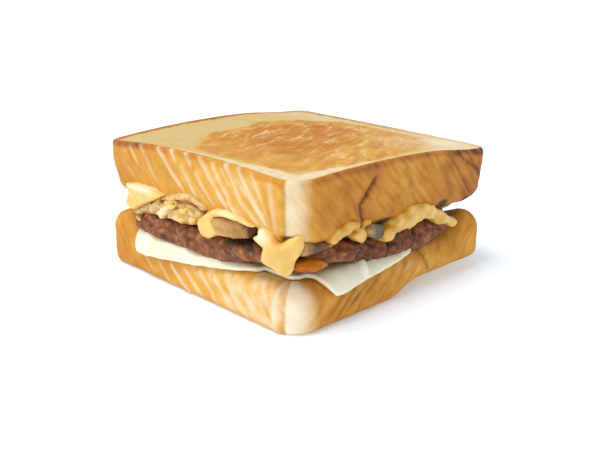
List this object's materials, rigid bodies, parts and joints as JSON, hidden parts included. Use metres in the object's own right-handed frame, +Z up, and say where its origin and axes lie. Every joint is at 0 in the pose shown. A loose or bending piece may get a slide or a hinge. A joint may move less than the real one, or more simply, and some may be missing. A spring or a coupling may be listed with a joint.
{
  "type": "patty melt sandwich",
  "caption": "Hot sandwich of thick toasted bread slices round a beef patty, with melted white cheese, grilled onions and a creamy sauce that drips at the corner.",
  "frame": {"origin": "middle of the bounding box at the flat underside of the lower slice", "axes": "+Z up through the layers; the sides of the square slices face along X and Y; the corner with the drip is at +X, -Y"},
  "size_m": [0.12, 0.1212, 0.0579],
  "materials": {
    "bread": "golden crust, soft and matt, browned in patches on the griddled face",
    "cheese": "melted white cheese, smooth and slightly waxy",
    "beef": "browned ground beef, craggy and slightly moist",
    "onion": "grilled onion, translucent tan, moist",
    "browned_onion": "deep amber brown, moist",
    "sauce": "thick creamy yellow sauce, glossy"
  },
  "bodies": {
    "root": {"bread_bottom": "bread", "bread_top": "bread", "cheese": "cheese", "patty": "beef", "onions": "onion", "onion_browned": "browned_onion", "sauce": "sauce"}
  },
  "joints": []
}
